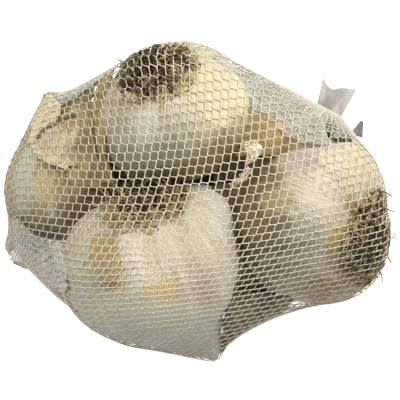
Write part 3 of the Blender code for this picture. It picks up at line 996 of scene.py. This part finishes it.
def film_material(name, pale, dark):
    """Crumpled plastic film with creases, its colour darker in the folds and creases as painted shade.
    """
    material, tree, place = start_shader(name, pale, 0.45)
    tree.nodes[SHADER].inputs["Transmission Weight"].default_value = 0.45
    tall = scaled(tree, place, (1.0, 1.0, 0.25))
    folds, creases = noise(tree, tall, 160.0, 3.0), noise(tree, tall, 420.0, 4.0, 0.7)
    # Painted shade: darker colour in the folds and creases, which also give the relief.
    colour = mixed(tree, ranged(tree, folds, 0.38, 0.62), dark, pale)
    colour = mixed(tree, ranged(tree, creases, 0.55, 0.7, 0.0, 0.5), colour, dark)
    finish_shader(tree, colour, added(tree, folds, times(tree, creases, 0.5)), 0.9, 0.0025)
    return material


def metal_material():
    """Dull metal of the clip."""
    material, tree, place = start_shader("clip_metal", (0.55, 0.55, 0.56), 0.35, 1.0)
    scratches = noise(tree, place, 1800.0, 2.0)
    colour = mixed(tree, scratches, (0.62, 0.62, 0.63), (0.46, 0.46, 0.48))
    finish_shader(tree, colour, scratches, 0.3, 0.0002)
    return material


def dress(node, material):
    """Material for every slot of a solid that is shown as it is."""
    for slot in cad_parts[node].material_slots:
        slot.material = material


# Colours of each bulb, and its stain patches, painted light and painted shade: pixel x and y,
# half width and height in pixels, turn in degrees, softness of the edge, colour and strength
PALE, GREY, PINK = (0.84, 0.8, 0.7), (0.53, 0.48, 0.36), (0.52, 0.38, 0.36)
LEFT.update(colour=(0.62, 0.52, 0.33), warm=(0.56, 0.42, 0.19), rib=(0.42, 0.32, 0.17),
            plate=0.3, stains=(
    (56, 188, 28, 16, -10, 0.5, (0.84, 0.69, 0.34), 0.95),
    # Painted shade: darker on the lower right of the left bulb, towards the front bulb.
    (84, 208, 18, 20, 0, 0.6, (0.27, 0.19, 0.08), 0.8),
    (52, 236, 26, 9, -10, 0.6, (0.38, 0.26, 0.15), 0.85),
    (52, 212, 5, 6, 0, 0.4, PALE, 0.95),
    (24, 175, 12, 40, -8, 0.6, (0.74, 0.68, 0.52), 0.8),
    # Painted shade: darker along the right side of the left bulb, next to the top bulb.
    (90, 165, 12, 34, 10, 0.6, (0.34, 0.26, 0.12), 0.8)))
TOP.update(colour=(0.66, 0.6, 0.45), warm=(0.64, 0.54, 0.32), rib=(0.5, 0.44, 0.32),
           plate=0.45, stains=(
    (220, 100, 30, 46, 20, 0.7, (0.76, 0.66, 0.4), 0.75),
    (150, 130, 14, 26, 8, 0.7, PALE, 0.7),
    (178, 138, 24, 22, 5, 0.8, GREY, 0.75),
    (118, 138, 14, 26, 10, 0.7, GREY, 0.6),
    # Painted shade on this row and the next: the underside and lower right of the top bulb.
    (178, 172, 80, 26, 0, 0.9, (0.23, 0.18, 0.08), 0.94),
    (232, 156, 28, 26, 30, 0.8, (0.28, 0.21, 0.09), 0.9),
    (150, 158, 44, 10, 5, 0.8, GREY, 0.5),
    (238, 128, 10, 18, 10, 0.6, (0.5, 0.39, 0.18), 0.7),
    (128, 104, 22, 6, -8, 0.6, (0.44, 0.38, 0.24), 0.7),
    (130, 98, 14, 5, -5, 0.5, (0.8, 0.72, 0.55), 0.9)))
FRONT.update(colour=(0.75, 0.69, 0.55), warm=(0.7, 0.59, 0.37), rib=(0.54, 0.46, 0.33),
             plate=0.36, stains=(
    (106, 262, 25, 27, 10, 0.15, (0.5, 0.36, 0.16), 0.95),
    (106, 284, 15, 4, -5, 0.4, (0.3, 0.17, 0.09), 0.8),
    (160, 296, 14, 24, 15, 0.7, (0.82, 0.62, 0.28), 1.0),
    (150, 276, 12, 8, 30, 0.5, PALE, 0.7),
    (172, 306, 9, 6, 0, 0.5, PALE, 0.7),
    (207, 292, 14, 24, 10, 0.7, PINK, 0.5),
    (84, 288, 18, 26, -20, 0.7, (0.56, 0.54, 0.42), 0.7),
    (190, 262, 7, 34, 18, 0.7, GREY, 0.6),
    (130, 250, 10, 30, 12, 0.7, PALE, 0.6),
    # Painted light: the bottom of the front bulb made paler, in place of light from below.
    (150, 330, 85, 30, -8, 0.8, (0.8, 0.75, 0.65), 0.9),
    # Painted highlight on the right lobe of the front bulb.
    (222, 222, 12, 18, 0, 0.7, PALE, 0.8),
    (178, 216, 8, 20, 30, 0.6, (0.5, 0.4, 0.24), 0.7)))
SIDE.update(colour=(0.7, 0.64, 0.5), warm=(0.64, 0.54, 0.34), rib=(0.54, 0.47, 0.35),
            plate=0.42, stains=(
    (284, 148, 26, 10, -28, 0.7, (0.56, 0.46, 0.32), 0.6),
    (304, 162, 16, 13, 0, 0.9, PINK, 0.8),
    (272, 176, 18, 12, -20, 0.7, (0.46, 0.37, 0.2), 0.7),
    # Painted highlight on the lit middle of the right bulb.
    (318, 196, 18, 22, 0, 0.8, (0.8, 0.72, 0.58), 0.8),
    # Painted shade on this row and the next: the lower left and the bottom of the right bulb.
    (290, 240, 34, 26, 0, 0.9, (0.38, 0.36, 0.26), 0.75),
    (285, 275, 34, 30, 10, 0.8, (0.42, 0.38, 0.28), 0.8),
    (362, 160, 16, 40, -20, 0.7, (0.72, 0.6, 0.36), 0.8),
    # Painted shade on this row and the next: down the left side of the right bulb.
    (258, 215, 30, 74, 8, 0.9, (0.19, 0.145, 0.06), 0.96),
    (277, 200, 15, 13, 0, 0.8, (0.5, 0.42, 0.2), 0.7),
    (337, 238, 11, 14, -10, 0.3, (0.62, 0.44, 0.16), 1.0),
    (350, 204, 5, 12, -20, 0.5, (0.44, 0.32, 0.15), 0.7),
    (346, 262, 22, 14, -10, 0.7, (0.34, 0.23, 0.11), 0.8),
    (318, 292, 20, 15, 0, 0.4, (0.4, 0.25, 0.1), 0.95),
    (352, 288, 20, 18, 20, 0.6, (0.42, 0.3, 0.17), 0.8)))

white_film = film_material("white_film", (0.92, 0.89, 0.83), (0.66, 0.62, 0.56))
# The film's corner is white film coloured grey: painted shade, as that end lies in shadow behind the
# bag.
grey_film = film_material("grey_film", (0.4, 0.4, 0.37), (0.24, 0.24, 0.22))
dress("film_fan", white_film)
dress("film_corner", grey_film)
dress("closure_clip", metal_material())

for bulb in BULBS:
    add_bulb(bulb, skin_material(bulb))
add_net(net_material("cream_net", (0.78, 0.71, 0.57), (0.65, 0.58, 0.45)))

# Root mats: hairs, spread in radians, length, curl, share of loose hairs, radius, paleness,
# and how far and towards which side the mat reaches out
hair = hair_material()
add_roots(TOP, hair, 380, 0.56, 15.0, 0.3, 0.0, 0.34, -0.18, (0.14, 320))
add_roots(FRONT, hair, 330, 0.5, 12.0, 0.25, 0.0, 0.3, 0.06, (0.22, 225))
add_roots(SIDE, hair, 380, 0.54, 14.0, 0.26, 0.03, 0.34, 0.02, (0.1, 315))
add_roots(LEFT, hair, 60, 0.35, 8.0, 0.6, 0.0, 0.2, 0.0, (0.0, 0))
add_strays(TOP, (((178, 57, -0.5), (183, 52, 0.8), (188, 48, 1.6)),
                 ((176, 53, -0.5), (181, 48, 0.8), (186, 45, 1.6)),
                 ((124, 62, -0.5), (119, 58, 1), (117, 55, 2.2))), hair)
add_strays(SIDE, (((380, 205, -0.5), (386, 210, 1), (388, 212, 2.4)),
                  ((383, 235, -0.5), (388, 237, 1.2), (389, 233, 2.8)),
                  ((384, 252, -0.5), (388, 257, 1), (388, 260, 2.6)),
                  ((376, 268, -0.5), (381, 274, 1), (382, 280, 2.6)),
                  ((381, 190, -0.5), (385, 194, 1), (386, 198, 2.2))), hair)

# The flap goes olive brown to its right: painted shade.
flap = leaf_material("pale_flap", (0.78, 0.66, 0.42), (0.6, 0.46, 0.24), 120.0,
                     (-0.046, -0.038, (0.38, 0.29, 0.13)))
# A dark strip along the flap's fold: painted shade in the crease.
crease_shade = leaf_material("flap_crease_shade", (0.2, 0.13, 0.05), (0.12, 0.075, 0.03))
rim = leaf_material("flap_rim", (0.84, 0.72, 0.46), (0.7, 0.54, 0.28))
tan = leaf_material("tan_skin", (0.58, 0.42, 0.19), (0.36, 0.25, 0.1))
leaf = leaf_material("olive_leaf", (0.43, 0.35, 0.15), (0.22, 0.165, 0.06))
# Near black sheets put under the net in the gaps between the bulbs, where there is only shade: painted
# shade.
dark = leaf_material("painted_shade_sheet", (0.17, 0.12, 0.045), (0.06, 0.04, 0.014))
flake = leaf_material("white_flake", (0.86, 0.78, 0.62), (0.7, 0.56, 0.34), 200.0)
tan_flake = leaf_material("tan_flake", (0.66, 0.52, 0.28), (0.46, 0.32, 0.14), 250.0)
web = leaf_material("net_web", (0.96, 0.95, 0.91), (0.88, 0.85, 0.79), 400.0)
# Near black film colour: the film's dark print, and painted shade in the hollow under the neck.
black = leaf_material("dark_print_and_shade_film", (0.02, 0.02, 0.022), (0.035, 0.032, 0.03))
# Sheets: name, material, crumple, and two edges of (pixel x, pixel y, depth below the net)
SHEETS = (
    ("flap_upper", rim, 0.3,
     ((48, 92, 0.5), (38, 106, 0.5), (31, 124, 0.5), (30, 146, 0.8)),
     ((51, 94, 0.6), (61, 106, 0.8), (57, 119, 1), (39, 138, 2.2))),
    ("flap_lower", flap, 0.5,
     ((35, 141, 1.2), (44, 132, 1.4), (60, 117, 1.6), (74, 109, 2.5), (88, 106, 6)),
     ((33, 148, 0.5), (45, 161, 0.6), (62, 166, 1), (73, 166, 2.5), (88, 164, 7))),
    ("flap_rim", rim, 0.2,
     ((33, 142, 0.4), (36, 149, 0.4), (47, 158, 0.4), (66, 165, 0.5)),
     ((31, 146, 0.5), (36, 155, 0.5), (48, 163, 0.5), (70, 170, 0.8))),
    # Painted shade in the flap's crease.
    ("flap_crease_shade", crease_shade, 0.0,
     ((36, 137, 0.5), (43, 129, 0.5), (55, 121, 0.6), (74, 113, 1.2)),
     ((38, 139, 0.5), (45, 131, 0.5), (58, 123, 0.6), (75, 116, 1.2))),
    ("leaf_left", leaf, 0.5,
     ((54, 122, 3.5), (60, 108, 3), (68, 98, 2.5), (80, 86, 2), (96, 76, 1.5)),
     ((76, 122, 5), (82, 112, 5), (87, 108, 4.5), (91, 100, 3.5), (99, 80, 2.5))),
    ("leaf_middle", leaf, 0.6,
     ((102, 76, 1), (94, 94, 1.5), (91, 118, 2.5), (93, 150, 3.5), (100, 182, 7)),
     ((114, 70, 1), (108, 92, 2), (105, 118, 4), (106, 150, 7), (114, 184, 11))),
    ("leaf_thin", leaf, 0.4,
     ((90, 112, 1.2), (89, 130, 1.5), (93, 155, 2.5), (103, 176, 6)),
     ((92, 110, 1.2), (92, 130, 1.5), (96, 154, 2.5), (105, 174, 6.5))),
    # Olive sheet in the gap between the left and top bulbs: partly dry leaf, partly painted shade for
    # the shaded side of the left bulb.
    ("leaf_and_shade_gap", leaf, 0.5,
     ((78, 106, 2.5), (80, 132, 3), (70, 158, 2.8), (64, 184, 2.4)),
     ((98, 100, 4), (100, 122, 5), (106, 155, 8), (118, 190, 14))),
    ("tan_shoulder", tan, 0.15,
     ((244, 106, 2.5), (243, 124, 4), (242, 140, 7), (236, 156, 11)),
     ((259, 111, 1), (280, 122, 1.2), (298, 136, 2.5), (306, 154, 8))),
    # Painted shade: the next four sheets fill the gaps between the bulbs with near black.
    ("shade_right", dark, 1.0,
     ((206, 150, 16), (212, 168, 20), (214, 196, 22)),
     ((276, 140, 8), (274, 164, 12), (264, 206, 18))),
    ("shade_middle", dark, 1.5,
     ((212, 186, 18), (220, 215, 20), (224, 250, 22), (226, 300, 22)),
     ((268, 176, 18), (266, 205, 20), (268, 250, 22), (278, 304, 18))),
    ("shade_left", dark, 1.5,
     ((88, 176, 14), (150, 168, 22), (200, 170, 24), (240, 160, 20)),
     ((94, 220, 16), (150, 204, 24), (200, 204, 24), (256, 190, 20))),
    ("shade_front", dark, 1.0,
     ((226, 290, 18), (224, 314, 15), (222, 336, 11), (217, 354, 5)),
     ((298, 296, 16), (276, 318, 11), (258, 334, 7), (232, 352, 3))),
    ("flake_upper", flake, 0.9,
     ((240, 144, 1), (247, 156, 1.5), (245, 166, 2)),
     ((254, 139, 1), (262, 149, 1), (256, 160, 2))),
    ("flake_lower", flake, 0.9,
     ((229, 184, 4), (238, 178, 3), (248, 166, 2)),
     ((231, 188, 4), (243, 182, 3), (252, 171, 2))),
    ("flake_web_left", flake, 0.5,
     ((11, 222, 0.8), (14, 226, 0.8), (17, 231, 0.8)),
     ((17, 219, 0.8), (20, 223, 0.8), (22, 228, 0.8))),
    ("flake_web_right", flake, 0.5,
     ((37, 252, 0.8), (41, 256, 0.8), (45, 261, 0.8)),
     ((43, 249, 0.8), (47, 252, 0.8), (51, 256, 0.8))),
    ("flake_root_left", flake, 0.3,
     ((116, 92, 0.5), (122, 99, 0.5), (136, 101, 0.5)),
     ((119, 86, 0.5), (127, 92, 0.5), (139, 94, 0.5))),
    ("flake_root_right", tan_flake, 0.3,
     ((168, 88, 0.5), (180, 93, 0.5), (193, 88, 0.5)),
     ((170, 81, 0.5), (181, 85, 0.5), (194, 76, 0.5))),
    ("web_front", web, 0.3,
     ((9, 224, 0.9), (14, 246, 0.9), (32, 268, 0.9), (64, 295, 0.9)),
     ((18, 222, 2.5), (38, 239, 3.5), (60, 247, 3.5), (68, 285, 2.5))),
    ("web_left", web, 0.2,
     ((52, 93, 0.9), (75, 84, 0.9), (100, 73, 0.9), (122, 59, 0.9)),
     ((60, 104, 1.6), (72, 97, 1.6), (92, 84, 1.6), (112, 70, 1.6))),
    # Sheet by the clip: dark print of the film, and painted shade of the hollow under the neck.
    ("dark_print_and_shade_film", black, 0.2,
     ((312, 112, 1.5), (320, 126, 1.5), (338, 141, 1.5)),
     ((320, 111, 1.2), (336, 121, 1.2), (352, 141, 1.2))),
)
for sheet in SHEETS:
    add_sheet(*sheet)

add_neck(bpy.data.materials["cream_net"])
add_wrap("film_fan_foot", (51.2, 51.9, 13.3), (0.98, -0.1, -0.1), 9.0, (-60, 200),
         white_film)
add_wrap("film_corner_foot", (61.2, 44.9, 12.2), (0.8, -0.2, -0.4), 4.6, (20, 160),
         grey_film)

# Darker and paler copies of the net thread's colour: painted shade on the bunches under the outer net
# at the top, and painted light on the pale bunches at the front and by the clip.
bunched = net_material("shaded_bunched_net", (0.66, 0.62, 0.53), (0.56, 0.52, 0.44))
lit_pale_bunch = net_material("lit_pale_bunch", (0.9, 0.87, 0.8), (0.78, 0.75, 0.68))
# Bunches: name, material, radius, strands, cells, and two edges as for the sheets
BUNCHES = (
    ("bunch_right", bunched, 0.18, 46, 50,
     ((214, 54, 0.8), (250, 74, 0.8), (288, 94, 0.8), (320, 108, 0.8)),
     ((238, 86, 2), (262, 116, 2), (296, 140, 1.5), (330, 146, 1))),
    ("bunch_left", bunched, 0.18, 20, 30,
     ((50, 91, 0.4), (75, 81, 0.4), (100, 70, 0.4), (124, 56, 0.4)),
     ((60, 107, 0.8), (74, 99, 0.8), (94, 84, 0.8), (114, 70, 0.8))),
    ("bunch_front", lit_pale_bunch, 0.18, 15, 24,
     ((8, 222, 0.5), (13, 248, 0.5), (31, 269, 0.5), (64, 296, 0.5)),
     ((20, 221, 2), (39, 238, 2), (59, 246, 2), (66, 285, 1))),
    ("bunch_clip", lit_pale_bunch, 0.14, 6, 9,
     ((313, 111, 0.4), (322, 124, 0.4), (336, 137, 0.4)),
     ((322, 110, 0.4), (337, 120, 0.4), (352, 140, 0.4))),
)
for bunch in BUNCHES:
    add_bunch(*bunch)


# Floor, lights and camera
FLOOR_SIZE = 3.0
FLOOR_GLOW = 0.8
WORLD_STRENGTH = 0.2


def add_floor():
    """White ground that shows the shadow and sheds no light on the part."""
    mesh = bpy.data.meshes.new("floor")
    corners = [(x * FLOOR_SIZE, y * FLOOR_SIZE, 0) for x, y in ((-1, -1), (1, -1), (1, 1), (-1, 1))]
    mesh.from_pydata(corners, [], [(0, 1, 2, 3)])
    floor = add_object("floor", mesh)
    material = plain_material("floor_white", (0.9, 0.9, 0.9), 0.9)
    shader = material.node_tree.nodes[SHADER]
    shader.inputs["Emission Color"].default_value = (1.0, 1.0, 1.0, 1.0)
    shader.inputs["Emission Strength"].default_value = FLOOR_GLOW
    mesh.materials.append(material)
    floor.visible_diffuse = False


def add_light(name, way, far, size, power):
    """Round lamp some metres away, shining at the part."""
    data = bpy.data.lights.new(name, "AREA")
    data.shape = "DISK"
    data.size = size
    data.energy = power
    light = add_object(name, data)
    way = unit(way)
    light.location = Vector(way * far)
    light.rotation_euler = Vector(way).to_track_quat("Z", "Y").to_euler()


add_floor()
add_light("key_light", (0.5, 0.25, 0.83), 0.9, 0.95, 10.4)
add_light("left_light", (-0.6, 0.05, 0.78), 1.0, 0.6, 4.4)
add_light("front_light", (0.05, -0.9, 0.42), 1.0, 0.7, 1.7)
world = bpy.data.worlds.new("studio")
bpy.context.scene.world = world
world.use_nodes = True
background = world.node_tree.nodes["Background"]
background.inputs["Color"].default_value = (1.0, 1.0, 1.0, 1.0)
background.inputs["Strength"].default_value = WORLD_STRENGTH

camera_data = bpy.data.cameras.new("camera")
camera_data.sensor_width = SENSOR
camera_data.lens = FOCAL_PIXELS / IMAGE * SENSOR
camera_data.clip_start = 0.01
camera = add_object("camera", camera_data)
camera.location = Vector(EYE * MM)
camera.rotation_euler = (math.pi / 2 - CAMERA_RISE, 0.0, 0.0)
bpy.context.scene.camera = camera
bpy.context.scene.view_settings.view_transform = "Standard"
